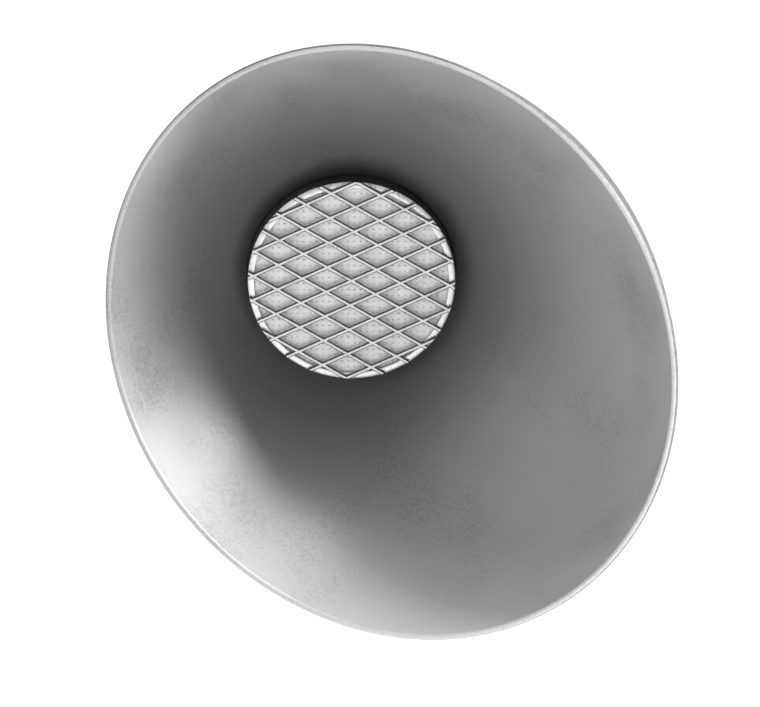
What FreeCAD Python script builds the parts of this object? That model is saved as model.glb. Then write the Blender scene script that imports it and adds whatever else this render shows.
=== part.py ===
"""Gas burner assembly: a deep dished reflector with a screened ceramic burner set off its axis.

Each piece is drawn in the burner's own frame, whose axis Z runs from the gas inlet towards the fire side
and whose Y points up. FACING turns that frame so that the finished burner faces -Y with +Z up.
The origin is on the burner's axis where the gas inlet's thread begins. Lengths are in millimetres.
The reflector is a piece of a sphere, so a plane at any angle cuts it in a circle: its mouth is raked
from the burner's axis, while its burner hole is square to that axis.
"""

import FreeCAD, Part
import Sketcher
import math
import os
import re

# Driving dimensions: alias, value, what it is.
DIMENSIONS = [
    ("bowl_radius", 117.04, "inner radius of the reflector's sphere"),
    ("bowl_sheet", 0.9, "thickness of the reflector's sheet"),
    ("bowl_centre_z", 292.1, "distance of the sphere's centre from the inlet"),
    ("bowl_rake", 24.24, "angle between the reflector's axis and the burner's"),
    ("rim_drop", 31.5, "from the sphere's centre back to the mouth's plane"),
    ("bead_radius", 1.3, "radius of the curled edge"),
    ("hole_radius", 40.2, "radius of the reflector's burner hole"),
    ("sheet_metal", 1.0, "sheet of the cup, the plenum, the mixer tube and the air box"),
    ("fit_gap", 0.15, "radial gap of pieces that slide over each other"),
    ("cup_radius", 39.6, "outer radius of the burner cup"),
    ("cup_front_z", 189.6, "front face of the cup's turned lip"),
    ("cup_lip", 2.7, "radial width of the turned lip"),
    ("flange_radius", 49.0, "outer radius of the cup's and the plenum's flanges"),
    ("flange_z", 162.4, "rear face of the cup's flange"),
    ("mesh_long", 18.66, "diamond of the screen, the long way"),
    ("mesh_short", 9.83, "diamond of the screen, the short way"),
    ("mesh_turn", -3.0, "turn of the screen about the axis"),
    ("strand_width", 1.6, "width of a strand of the screen"),
    ("mesh_sheet", 1.2, "thickness of the screen"),
    ("mesh_radius", 39.3, "radius of the cut screen"),
    ("mesh_shift", 0.4, "how far the screen sits above the axis"),
    ("tile_radius", 37.2, "radius of the ceramic tile"),
    ("tile_thick", 13.0, "thickness of the ceramic tile"),
    ("tile_gap", 0.2, "from the tile's face to the cup's lip"),
    ("wrap_gap", 0.1, "gap on both sides of the fibre wrap"),
    ("shelf_radius", 38.4, "outer radius of the tile's shelf"),
    ("shelf_inner", 33.5, "inner radius of the tile's shelf"),
    ("shelf_thick", 1.6, "thickness of the tile's shelf"),
    ("shelf_leg_radius", 37.4, "outer radius of the shelf's leg"),
    ("gasket_thick", 1.2, "thickness of the flat gaskets"),
    ("plenum_radius", 37.4, "outer radius of the plenum's wall"),
    ("plenum_floor_z", 141.2, "rear face of the plenum's floor"),
    ("plenum_floor_radius", 29.0, "where the plenum's floor turns up"),
    ("plenum_bend_z", 148.0, "where the plenum's wall becomes straight"),
    ("tube_exit_radius", 13.0, "inner radius of the mixer tube's outlet"),
    ("tube_throat_radius", 9.0, "inner radius of the mixer tube's throat"),
    ("tube_inlet_radius", 11.0, "inner radius of the mixer tube's inlet"),
    ("tube_inlet_z", 72.0, "rear end of the mixer tube"),
    ("tube_bell_z", 82.0, "where the inlet starts to narrow"),
    ("tube_throat_z", 92.0, "start of the throat"),
    ("tube_throat_end_z", 100.0, "end of the throat"),
    ("tube_flange_radius", 26.0, "outer radius of the mixer tube's flange"),
    ("air_box_radius", 24.0, "outer radius of the air box"),
    ("air_box_z", 22.0, "rear face of the air box"),
    ("air_box_shoulder_z", 58.0, "where the air box starts to narrow"),
    ("air_box_neck_z", 68.0, "where the air box's neck starts"),
    ("air_box_end_z", 79.0, "front end of the neck, over the mixer tube"),
    ("window_width", 17.0, "width of an air window"),
    ("window_low_z", 29.0, "rear edge of the air windows"),
    ("window_high_z", 46.0, "front edge of the air windows"),
    ("shutter_gap", 0.3, "running gap of the shutter on the air box"),
    ("shutter_low_z", 25.0, "rear edge of the shutter"),
    ("shutter_high_z", 56.0, "front edge of the shutter"),
    ("shutter_travel", 42.0, "turn of the shutter from open to shut"),
    ("slot_z", 51.0, "middle of the shutter's slot"),
    ("slot_half", 1.9, "half the width of the shutter's slot"),
    ("tab_reach", 33.0, "how far the shutter's tab reaches from the axis"),
    ("tab_low_z", 47.5, "rear edge of the tab"),
    ("tab_high_z", 54.5, "front edge of the tab"),
    ("clamp_radius", 1.5, "radius of the shutter's clamp screw"),
    ("clamp_head_radius", 4.0, "radius of the clamp screw's head"),
    ("clamp_head", 4.5, "height of the clamp screw's head"),
    ("inlet_radius", 7.94, "outer radius of the inlet's thread"),
    ("inlet_nose", 5.2, "radius of the inlet's end face"),
    ("inlet_nose_length", 2.8, "length of the inlet's flare cone"),
    ("hex_z", 13.0, "rear face of the holder's hexagon"),
    ("holder_hex", 19.0, "width across the flats of the holder's hexagon"),
    ("shank_radius", 6.0, "radius of the holder's shank"),
    ("shank_end_z", 34.0, "front end of the shank"),
    ("holder_bore", 3.4, "radius of the gas way through the holder"),
    ("lock_nut_hex", 17.0, "width across the flats of the lock nut"),
    ("lock_nut_height", 5.0, "height of the lock nut"),
    ("washer_thick", 1.0, "thickness of the washers"),
    ("holder_washer_radius", 9.0, "outer radius of the holder's washer"),
    ("jet_seat_z", 28.0, "rear end of the jet"),
    ("jet_hex", 9.0, "width across the flats of the jet"),
    ("jet_hex_height", 4.0, "height of the jet's hexagon"),
    ("jet_end_z", 43.0, "front end of the jet"),
    ("jet_nose_radius", 3.0, "radius of the jet's nose"),
    ("jet_way", 1.8, "radius of the way inside the jet"),
    ("jet_orifice", 0.65, "radius of the jet's orifice"),
    ("jet_land", 1.5, "length of the jet's orifice"),
    ("bracket_sheet", 2.0, "thickness of the mounting bracket"),
    ("bracket_width", 34.0, "width of the mounting bracket"),
    ("bracket_reach", 46.0, "from the axis down to the bracket's mounting face"),
    ("bracket_head", 17.0, "from the axis up to the bracket's upper edge"),
    ("bracket_end_z", 72.0, "front edge of the bracket's foot"),
    ("bracket_bend", 3.0, "outer radius of the bracket's bend"),
    ("mount_hole_radius", 2.75, "radius of the mounting holes"),
    ("mount_hole_z", 36.0, "distance of the rear mounting holes from the inlet"),
    ("mount_hole_rise", 25.0, "spacing of the mounting holes along the axis"),
    ("mount_hole_span", 20.0, "spacing of the mounting holes across the axis"),
    ("screw_radius", 2.0, "radius of the flange screws"),
    ("screw_hex", 7.0, "width across the flats of the flange screws and nuts"),
    ("screw_head", 2.8, "height of a screw head or a nut"),
    ("screw_tail", 1.2, "how far a screw stands out of its nut"),
    ("screw_play", 0.2, "radial play of a screw in its hole"),
    ("spring_washer_radius", 3.9, "outer radius of the spring washers"),
    ("plenum_bolt_circle", 44.0, "radius of the plenum screws' circle"),
    ("tube_bolt_circle", 20.5, "radius of the mixer tube screws' circle"),
    ("collar_wall", 1.2, "sheet of the throat collar"),
    ("collar_low_z", 167.6, "rear edge of the throat collar"),
    ("collar_flange_radius", 53.0, "outer radius of the throat collar's flange"),
    ("collar_seam", 0.3, "gap between the collar's flange and the reflector"),
    ("side_screw_radius", 1.6, "radius of the collar and neck screws"),
    ("side_screw_head_radius", 3.0, "radius of their pan heads"),
    ("side_screw_head", 1.9, "height of their pan heads"),
    ("collar_screw_z", 171.2, "distance of the collar screws from the inlet"),
    ("neck_screw_z", 75.0, "distance of the neck screws from the inlet"),
    ("baffle_radius", 26.0, "radius of the baffle plate"),
    ("baffle_z", 154.0, "rear face of the baffle plate"),
    ("baffle_sheet", 1.2, "thickness of the baffle plate"),
    ("baffle_hole", 2.2, "radius of the baffle's holes"),
    ("baffle_leg_circle", 23.5, "radius of the circle of the baffle's legs"),
    ("baffle_leg_radius", 1.6, "radius of a leg"),
]

PLENUM_SCREWS = 6
PLENUM_SCREW_START = 15
TUBE_SCREWS = 4
TUBE_SCREW_START = 45
COLLAR_SCREWS = 4
BAFFLE_LEGS = 3
BAFFLE_RINGS = [(6.5, 6), (12.5, 12), (18.5, 18)]  # circle radius and number of holes

doc = FreeCAD.newDocument("burner_assembly")
sheet = doc.addObject("Spreadsheet::Sheet", "dims")
for row, (alias, value, meaning) in enumerate(DIMENSIONS, start=1):
    sheet.set(f"A{row}", meaning)
    sheet.set(f"B{row}", str(value))
    sheet.setAlias(f"B{row}", alias)
doc.recompute()

ALIASES = {alias for alias, _, _ in DIMENSIONS}
FACING = FreeCAD.Placement(FreeCAD.Vector(0, 0, 0), FreeCAD.Rotation(FreeCAD.Vector(1, 0, 0), 90))
finished = []


def formula(text):
    """The text as an expression of the document, with each alias written as a cell of the sheet."""
    return re.sub(r"[a-z_]+", lambda m: "dims." + m[0] if m[0] in ALIASES else m[0], str(text))


def number(text):
    """What a formula comes to."""
    value = sheet.evalExpression(formula(text))
    return float(getattr(value, "Value", value))


def bind(piece, **properties):
    """Ties properties to formulas; a double underscore in a name stands for a dot."""
    for name, text in properties.items():
        piece.setExpression(name.replace("__", "."), formula(text))
    return piece


def finish(piece, label, placement=FACING):
    """Names a sub-part, places it in the finished burner and lists it for export."""
    piece.Label = label
    piece.Placement = placement
    finished.append(piece)
    return piece


# Profiles and bodies -------------------------------------------------------------------------------


def origin_feature(body, role):
    """One of the body's own origin planes or axes."""
    return next(feature for feature in body.Origin.OriginFeatures if feature.Role == role)


def new_sketch(body, name, plane):
    """An empty sketch on one of the body's origin planes."""
    sketch = body.newObject("Sketcher::SketchObject", name)
    sketch.AttachmentSupport = (origin_feature(body, plane), [""])
    sketch.MapMode = "FlatFace"
    return sketch


def fix_coordinate(sketch, geometry, point, kind, axis, text):
    """Holds one coordinate of a point of the sketch at a formula."""
    value = number(text)
    if abs(value) < 1e-9:
        sketch.addConstraint(Sketcher.Constraint("PointOnObject", geometry, point, axis))
        return
    place = sketch.addConstraint(Sketcher.Constraint(kind, -1, 1, geometry, point, value))
    sketch.setExpression(f"Constraints[{place}]", formula(text))


def outline(body, name, plane, corners):
    """A closed outline of straight lines whose corners are pairs of formulas."""
    sketch = new_sketch(body, name, plane)
    points = [FreeCAD.Vector(number(across), number(up), 0) for across, up in corners]
    count = len(points)
    for i in range(count):
        sketch.addGeometry(Part.LineSegment(points[i], points[(i + 1) % count]), False)
    for i in range(count):
        sketch.addConstraint(Sketcher.Constraint("Coincident", i, 2, (i + 1) % count, 1))
    for i, (across, up) in enumerate(corners):
        fix_coordinate(sketch, i, 1, "DistanceX", -2, across)
        fix_coordinate(sketch, i, 1, "DistanceY", -1, up)
    return sketch


def circles(body, name, plane, centres, radius):
    """Circles of one radius at pairs of formulas."""
    sketch = new_sketch(body, name, plane)
    for i, (across, up) in enumerate(centres):
        centre = FreeCAD.Vector(number(across), number(up), 0)
        sketch.addGeometry(Part.Circle(centre, FreeCAD.Vector(0, 0, 1), number(radius)), False)
        fix_coordinate(sketch, i, 3, "DistanceX", -2, across)
        fix_coordinate(sketch, i, 3, "DistanceY", -1, up)
        place = sketch.addConstraint(Sketcher.Constraint("Radius", i, number(radius)))
        sketch.setExpression(f"Constraints[{place}]", formula(radius))
    return sketch


def revolved(name, corners):
    """A body turned about Z from corners given as distance from the axis and distance along it."""
    body = doc.addObject("PartDesign::Body", name)
    turned = body.newObject("PartDesign::Revolution", name + "_turned")
    turned.Profile = outline(body, name + "_profile", "XZ_Plane", corners)
    turned.ReferenceAxis = (turned.Profile[0], ["V_Axis"])
    turned.Angle = 360
    body.Tip = turned
    doc.recompute()
    return body


def ring(name, inner, outer, low, high):
    """A plain ring about the axis."""
    return revolved(name, [(inner, low), (outer, low), (outer, high), (inner, high)])


def cut_through(body, name, sketch, count=1, span=360):
    """Cuts a sketch through the whole body, both ways from its plane, with copies turned about Z."""
    pocket = body.newObject("PartDesign::Pocket", name)
    pocket.Profile = sketch
    pocket.Type = 1
    pocket.Midplane = True
    body.Tip = pocket
    doc.recompute()
    if count > 1:
        pattern = body.newObject("PartDesign::PolarPattern", name + "_pattern")
        pattern.Originals = [pocket]
        pattern.Axis = (origin_feature(body, "Z_Axis"), [""])
        pattern.Angle = span
        pattern.Occurrences = count
        body.Tip = pattern
        doc.recompute()
    return body


def axial_holes(body, name, circle, radius, count, start=0):
    """Round holes along the axis, evenly spaced on a circle."""
    centre = (f"{circle} * cos({start})", f"{circle} * sin({start})")
    return cut_through(body, name, circles(body, name + "_sketch", "XY_Plane", [centre], radius), count)


def side_holes(body, name, along, radius, pairs):
    """Round holes square to the axis: one pair above and below, or two pairs a quarter turn apart."""
    sketch = circles(body, name + "_sketch", "XZ_Plane", [("0", along)], radius)
    return cut_through(body, name, sketch, pairs, 90)


# Primitives ----------------------------------------------------------------------------------------


def cylinder(name, radius, height, low, across="0", up="0"):
    """A cylinder along the axis."""
    piece = doc.addObject("Part::Cylinder", name)
    bind(piece, Radius=radius, Height=height)
    return bind(piece, Placement__Base__x=across, Placement__Base__y=up, Placement__Base__z=low)


def hexagon(name, flats, height, low, across="0", up="0"):
    """A hexagonal prism along the axis."""
    piece = doc.addObject("Part::Prism", name)
    piece.Polygon = 6
    bind(piece, Circumradius=f"{flats} / (2 * cos(30))", Height=height)
    return bind(piece, Placement__Base__x=across, Placement__Base__y=up, Placement__Base__z=low)


def fused(name, pieces):
    """Pieces made one."""
    whole = doc.addObject("Part::MultiFuse", name)
    whole.Shapes = pieces
    return whole


def less(name, base, tool):
    """A piece with another cut out of it."""
    rest = doc.addObject("Part::Cut", name)
    rest.Base = base
    rest.Tool = tool
    return rest


def compound(name, pieces):
    """Loose pieces of one kind kept together."""
    group = doc.addObject("Part::Compound", name)
    group.Links = pieces
    return group


def on_circle(name, make, circle, count, start=0):
    """Pieces made by make(name, across, up), evenly spaced on a circle about the axis."""
    pieces = []
    for i in range(count):
        turn = start + 360 * i / count
        pieces.append(make(f"{name}_{i + 1}", f"{circle} * cos({turn})", f"{circle} * sin({turn})"))
    return compound(name, pieces)


def side_screw(name, inner, outer, along, turn):
    """A pan-head screw that points at the axis from one side."""
    shank = doc.addObject("Part::Cylinder", name + "_shank")
    bind(shank, Radius="side_screw_radius", Height=f"{outer} - ({inner})")
    head = doc.addObject("Part::Cylinder", name + "_head")
    bind(head, Radius="side_screw_head_radius", Height="side_screw_head")
    for piece, reach in ((shank, inner), (head, outer)):
        piece.Placement.Rotation = FreeCAD.Rotation(turn, 90, 0)
        across, up = f"({reach}) * cos({turn})", f"({reach}) * sin({turn})"
        bind(piece, Placement__Base__x=across, Placement__Base__y=up, Placement__Base__z=along)
    return fused(name, [shank, head])


# Reflector -----------------------------------------------------------------------------------------


def make_reflector():
    """Part of a thin sphere, open at its raked mouth, with a curled edge and the burner's hole."""
    skin = doc.addObject("Part::Sphere", "bowl_outside")
    skin.Angle1 = -90
    bind(skin, Radius="bowl_radius + bowl_sheet", Angle2="-asin(rim_drop / (bowl_radius + bowl_sheet))")
    inside = bind(doc.addObject("Part::Sphere", "bowl_inside"), Radius="bowl_radius")
    bead = doc.addObject("Part::Torus", "bowl_bead")
    bind(bead, Radius1="sqrt(bowl_radius ^ 2 - rim_drop ^ 2) + bead_radius", Radius2="bead_radius")
    bind(bead, Placement__Base__z="-rim_drop")
    hole = bind(doc.addObject("Part::Cylinder", "bowl_hole"), Radius="hole_radius", Height="bowl_radius * 1.2")
    hole.Placement.Rotation = FreeCAD.Rotation(FreeCAD.Vector(0, 1, 0), 180)
    bind(hole, Placement__Rotation__Angle="180 + bowl_rake")
    shell = fused("bowl_shell", [less("bowl_sheet_metal", skin, inside), bead])
    reflector = less("bowl_with_hole", shell, hole)
    centre = FreeCAD.Vector(0, 0, number("bowl_centre_z"))
    raked = FreeCAD.Rotation(FreeCAD.Vector(0, 1, 0), -number("bowl_rake"))
    finish(reflector, "reflector", FACING.multiply(FreeCAD.Placement(centre, raked)))


def make_throat_collar():
    """The sleeve behind the reflector that slips over the cup, with a flange welded to the bowl."""
    back = "(bowl_radius + bowl_sheet + collar_seam)"
    near_z = f"bowl_centre_z - sqrt({back} ^ 2 - (cup_radius + fit_gap) ^ 2)"
    knee_z = f"bowl_centre_z - sqrt({back} ^ 2 - (cup_radius + fit_gap + collar_wall) ^ 2)"
    far_z = f"bowl_centre_z - sqrt({back} ^ 2 - collar_flange_radius ^ 2)"
    inner, outer = "cup_radius + fit_gap", "cup_radius + fit_gap + collar_wall"
    collar = revolved("collar", [
        (inner, "collar_low_z"), (outer, "collar_low_z"),
        (outer, f"{knee_z} - collar_wall"), ("collar_flange_radius", f"{far_z} - collar_wall"),
        ("collar_flange_radius", far_z), (inner, near_z),
    ])
    side_holes(collar, "collar_holes", "collar_screw_z", "side_screw_radius + screw_play", 2)
    finish(collar, "throat_collar")
    screws = [
        side_screw(f"collar_screw_{i + 1}", "cup_radius - sheet_metal - 0.8", outer, "collar_screw_z",
                   360 * i / COLLAR_SCREWS)
        for i in range(COLLAR_SCREWS)
    ]
    finish(compound("collar_screw_set", screws), "collar_screws")


# Burner head ---------------------------------------------------------------------------------------


def make_burner_cup():
    """A drawn cup, open at the back, whose turned lip frames the tile and whose flange takes the screws."""
    inside = "cup_radius - sheet_metal"
    cup = revolved("cup", [
        (inside, "flange_z"), ("flange_radius", "flange_z"), ("flange_radius", "flange_z + sheet_metal"),
        ("cup_radius", "flange_z + sheet_metal"), ("cup_radius", "cup_front_z"),
        ("cup_radius - cup_lip", "cup_front_z"), ("cup_radius - cup_lip", "cup_front_z - sheet_metal"),
        (inside, "cup_front_z - sheet_metal"),
    ])
    axial_holes(cup, "cup_holes", "plenum_bolt_circle", "screw_radius + screw_play", PLENUM_SCREWS,
                PLENUM_SCREW_START)
    side_holes(cup, "cup_side_holes", "collar_screw_z", "side_screw_radius + screw_play", 2)
    finish(cup, "burner_cup")


def make_mesh_screen():
    """Expanded metal: two families of crossing strands, cut round and laid on the cup's lip."""
    slope = "atan(mesh_short / mesh_long)"
    pitch = f"mesh_long * sin({slope})"
    strands = []
    reach = math.ceil(number("mesh_radius") / number(pitch))
    for side in (-1, 1):
        for i in range(-reach, reach + 1):
            name = f"strand_{'up' if side > 0 else 'down'}_{i + reach + 1}"
            strand = bind(doc.addObject("Part::Box", name), Length="mesh_radius * 2.4",
                          Width="strand_width", Height="mesh_sheet")
            strand.Placement.Rotation = FreeCAD.Rotation(FreeCAD.Vector(0, 0, 1), side * number(slope))
            turn = f"({side} * {slope})"
            aside = f"({i} * {pitch} - strand_width / 2)"
            bind(strand, Placement__Base__x=f"-mesh_radius * 1.2 * cos({turn}) - {aside} * sin({turn})",
                 Placement__Base__y=f"-mesh_radius * 1.2 * sin({turn}) + {aside} * cos({turn})")
            strands.append(strand)
    disc = cylinder("screen_disc", "mesh_radius", "mesh_sheet", "0")
    screen = doc.addObject("Part::Common", "screen_cut_round")
    screen.Base = fused("screen_strands", strands)
    screen.Tool = disc
    turned = FreeCAD.Rotation(FreeCAD.Vector(0, 0, 1), number("mesh_turn"))
    seat = FreeCAD.Vector(0, number("mesh_shift"), number("cup_front_z"))
    finish(screen, "mesh_screen", FACING.multiply(FreeCAD.Placement(seat, turned)))


def make_tile():
    """The ceramic burner tile, its fibre wrap and the angle ring that it rests on."""
    face = "cup_front_z - sheet_metal - tile_gap"
    back = f"{face} - tile_thick"
    tile = revolved("tile", [("0", back), ("tile_radius", back), ("tile_radius", face), ("0", face)])
    finish(tile, "ceramic_tile")
    wrap_outside = "cup_radius - sheet_metal - wrap_gap"
    finish(ring("wrap", "tile_radius + wrap_gap", wrap_outside, back, face), "tile_wrap")
    shelf = revolved("shelf", [
        ("shelf_leg_radius - shelf_thick", "flange_z"), ("shelf_leg_radius", "flange_z"),
        ("shelf_leg_radius", f"{back} - shelf_thick"), ("shelf_radius", f"{back} - shelf_thick"),
        ("shelf_radius", back), ("shelf_inner", back),
        ("shelf_inner", f"{back} - shelf_thick"),
        ("shelf_leg_radius - shelf_thick", f"{back} - shelf_thick"),
    ])
    finish(shelf, "tile_shelf")


# Plenum --------------------------------------------------------------------------------------------


def make_plenum():
    """The rear pan that feeds the tile, its gasket and the baffle that spreads the mixture."""
    seat = "(flange_z - gasket_thick)"
    pan_inside = "plenum_radius - sheet_metal"
    gasket = ring("flange_gasket", pan_inside, "flange_radius", seat, "flange_z")
    axial_holes(gasket, "gasket_holes", "plenum_bolt_circle", "screw_radius + screw_play", PLENUM_SCREWS,
                PLENUM_SCREW_START)
    finish(gasket, "plenum_gasket")
    floor = "plenum_floor_z + sheet_metal"
    pan = revolved("pan", [
        ("tube_exit_radius", "plenum_floor_z"), ("plenum_floor_radius", "plenum_floor_z"),
        ("plenum_radius", "plenum_bend_z"), ("plenum_radius", f"{seat} - sheet_metal"),
        ("flange_radius", f"{seat} - sheet_metal"), ("flange_radius", seat), (pan_inside, seat),
        (pan_inside, "plenum_bend_z + sheet_metal * 0.4"),
        ("plenum_floor_radius - sheet_metal * 0.4", floor), ("tube_exit_radius", floor),
    ])
    axial_holes(pan, "pan_holes", "plenum_bolt_circle", "screw_radius + screw_play", PLENUM_SCREWS,
                PLENUM_SCREW_START)
    axial_holes(pan, "pan_floor_holes", "tube_bolt_circle", "screw_radius + screw_play", TUBE_SCREWS,
                TUBE_SCREW_START)
    finish(pan, "plenum")
    make_baffle(floor)


def make_baffle(floor):
    """A perforated disc on three legs that stand on the plenum's floor."""
    plate = cylinder("baffle_disc", "baffle_radius", "baffle_sheet", "baffle_z")
    punches = []
    for number_of_ring, (circle, count) in enumerate(BAFFLE_RINGS, start=1):
        for i in range(count):
            turn = 360 * i / count
            punches.append(cylinder(f"punch_{number_of_ring}_{i + 1}", "baffle_hole", "baffle_sheet * 3",
                                    "baffle_z - baffle_sheet", f"{circle} * cos({turn})",
                                    f"{circle} * sin({turn})"))
    punched = less("baffle_punched", plate, fused("baffle_punches", punches))
    legs = [
        cylinder(f"baffle_leg_{i + 1}", "baffle_leg_radius", f"baffle_z + baffle_sheet / 2 - ({floor})", floor,
                 f"baffle_leg_circle * cos({360 * i / BAFFLE_LEGS})",
                 f"baffle_leg_circle * sin({360 * i / BAFFLE_LEGS})")
        for i in range(BAFFLE_LEGS)
    ]
    finish(fused("baffle_on_legs", [punched] + legs), "baffle_plate")


def make_flange_screws(prefix, circle, count, start, head_top, clamped_top):
    """Hexagon screws from behind with spring washers and nuts in front of the clamped sheets."""

    def screw(name, across, up):
        head = hexagon(name + "_head", "screw_hex", "screw_head", f"{head_top} - screw_head", across, up)
        length = f"{clamped_top} + washer_thick + screw_head + screw_tail - ({head_top})"
        shank = cylinder(name + "_shank", "screw_radius", length, head_top, across, up)
        return fused(name, [head, shank])

    def washer(name, across, up):
        disc = cylinder(name + "_disc", "spring_washer_radius", "washer_thick", clamped_top, across, up)
        hole = cylinder(name + "_hole", "screw_radius + fit_gap", "washer_thick", clamped_top, across, up)
        return less(name, disc, hole)

    def nut(name, across, up):
        low = f"{clamped_top} + washer_thick"
        block = hexagon(name + "_block", "screw_hex", "screw_head", low, across, up)
        thread = cylinder(name + "_thread", "screw_radius + 0.02", "screw_head", low, across, up)
        return less(name, block, thread)

    for kind, make in (("screws", screw), ("washers", washer), ("nuts", nut)):
        group = on_circle(f"{prefix}_{kind}_set", make, circle, count, start)
        finish(group, f"{prefix}_{kind}")


# Mixer tube ----------------------------------------------------------------------------------------


def make_mixer_tube():
    """A venturi tube with a flange that is screwed to the plenum's floor over a gasket."""
    seat = "(plenum_floor_z - gasket_thick)"
    finish(axial_holes(
        ring("tube_seal", "tube_exit_radius", "tube_flange_radius", seat, "plenum_floor_z"),
        "seal_holes", "tube_bolt_circle", "screw_radius + screw_play", TUBE_SCREWS, TUBE_SCREW_START,
    ), "tube_gasket")
    inner = [
        ("tube_inlet_radius", "tube_inlet_z"), ("tube_inlet_radius", "tube_bell_z"),
        ("tube_throat_radius", "tube_throat_z"), ("tube_throat_radius", "tube_throat_end_z"),
        ("tube_exit_radius", seat),
    ]
    outer = [(f"{radius} + sheet_metal", along) for radius, along in inner[:-1]]
    outer += [
        ("tube_exit_radius + sheet_metal", f"{seat} - sheet_metal"),
        ("tube_flange_radius", f"{seat} - sheet_metal"), ("tube_flange_radius", seat),
    ]
    tube = revolved("tube", outer + inner[::-1])
    axial_holes(tube, "tube_holes", "tube_bolt_circle", "screw_radius + screw_play", TUBE_SCREWS,
                TUBE_SCREW_START)
    side_holes(tube, "tube_side_holes", "neck_screw_z", "side_screw_radius + screw_play", 1)
    finish(tube, "mixer_tube")


# Air box and shutter -------------------------------------------------------------------------------


def window_cuts(body, name):
    """Four air windows, a quarter turn apart."""
    half = "window_width / 2"
    corners = [(f"-{half}", "window_low_z"), (half, "window_low_z"), (half, "window_high_z"),
               (f"-{half}", "window_high_z")]
    sketch = outline(body, name + "_sketch", "XZ_Plane", corners)
    return cut_through(body, name, sketch, 2, 90)


def make_air_box():
    """The drawn can round the jet, with air windows, whose neck slips over the mixer tube."""
    neck = "tube_inlet_radius + sheet_metal + fit_gap"
    box = revolved("box", [
        ("shank_radius + fit_gap", "air_box_z"), ("air_box_radius", "air_box_z"),
        ("air_box_radius", "air_box_shoulder_z"), (f"{neck} + sheet_metal", "air_box_neck_z"),
        (f"{neck} + sheet_metal", "air_box_end_z"), (neck, "air_box_end_z"), (neck, "air_box_neck_z"),
        ("air_box_radius - sheet_metal", "air_box_shoulder_z - sheet_metal * 0.4"),
        ("air_box_radius - sheet_metal", "air_box_z + sheet_metal"),
        ("shank_radius + fit_gap", "air_box_z + sheet_metal"),
    ])
    window_cuts(box, "box_windows")
    side_holes(box, "box_side_holes", "neck_screw_z", "side_screw_radius + screw_play", 1)
    box = cut_clamp_hole(box)
    finish(box, "air_box")
    screws = [side_screw(f"neck_screw_{i + 1}", "tube_inlet_radius - 0.5", f"{neck} + sheet_metal",
                         "neck_screw_z", 90 + 180 * i) for i in range(2)]
    finish(compound("neck_screw_set", screws), "neck_screws")


def cut_clamp_hole(box):
    """Bores the clamp screw's hole, half the shutter's travel round from +X."""
    drill = bind(doc.addObject("Part::Cylinder", "clamp_drill"), Radius="clamp_radius + 0.02",
                 Height="air_box_radius + 3")
    drill.Placement.Rotation = FreeCAD.Rotation(number("shutter_travel") / 2, 90, 0)
    bind(drill, Placement__Base__z="slot_z")
    return less("box_with_clamp_hole", box, drill)


def make_air_shutter():
    """The sleeve that turns on the air box, with matching windows, a slot for its clamp and a tab."""
    inner = "air_box_radius + shutter_gap"
    sleeve = ring("sleeve", inner, f"{inner} + sheet_metal", "shutter_low_z", "shutter_high_z")
    window_cuts(sleeve, "sleeve_windows")
    slot = sleeve.newObject("PartDesign::Groove", "sleeve_slot")
    slot.Profile = outline(sleeve, "sleeve_slot_sketch", "XZ_Plane", [
        (f"{inner} - 1", "slot_z - slot_half"), (f"{inner} + sheet_metal + 1", "slot_z - slot_half"),
        (f"{inner} + sheet_metal + 1", "slot_z + slot_half"), (f"{inner} - 1", "slot_z + slot_half"),
    ])
    slot.ReferenceAxis = (slot.Profile[0], ["V_Axis"])
    slot.Midplane = True
    slot.setExpression("Angle", formula("shutter_travel * 1 deg + 2 * asin(slot_half / air_box_radius)"))
    sleeve.Tip = slot
    doc.recompute()
    tab = sleeve.newObject("PartDesign::Pad", "sleeve_tab")
    tab.Profile = outline(sleeve, "sleeve_tab_sketch", "XZ_Plane", [
        ("-tab_reach", "tab_low_z"), (f"-({inner} + sheet_metal / 2)", "tab_low_z"),
        (f"-({inner} + sheet_metal / 2)", "tab_high_z"), ("-tab_reach", "tab_high_z"),
    ])
    tab.Midplane = True
    tab.setExpression("Length", formula("sheet_metal"))
    sleeve.Tip = tab
    doc.recompute()
    finish(sleeve, "air_shutter")
    turn = number("shutter_travel") / 2
    shank = bind(doc.addObject("Part::Cylinder", "clamp_shank"), Radius="clamp_radius",
                 Height=f"{inner} + sheet_metal + shutter_gap - (air_box_radius - 3)")
    head = bind(doc.addObject("Part::Cylinder", "clamp_head"), Radius="clamp_head_radius", Height="clamp_head")
    reaches = ((shank, "(air_box_radius - 3)"), (head, f"({inner} + sheet_metal + shutter_gap)"))
    for piece, reach in reaches:
        piece.Placement.Rotation = FreeCAD.Rotation(turn, 90, 0)
        bind(piece, Placement__Base__x=f"{reach} * cos({turn})", Placement__Base__y=f"{reach} * sin({turn})",
             Placement__Base__z="slot_z")
    finish(fused("clamp_screw", [shank, head]), "shutter_clamp_screw")


# Gas fitting ---------------------------------------------------------------------------------------


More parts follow.
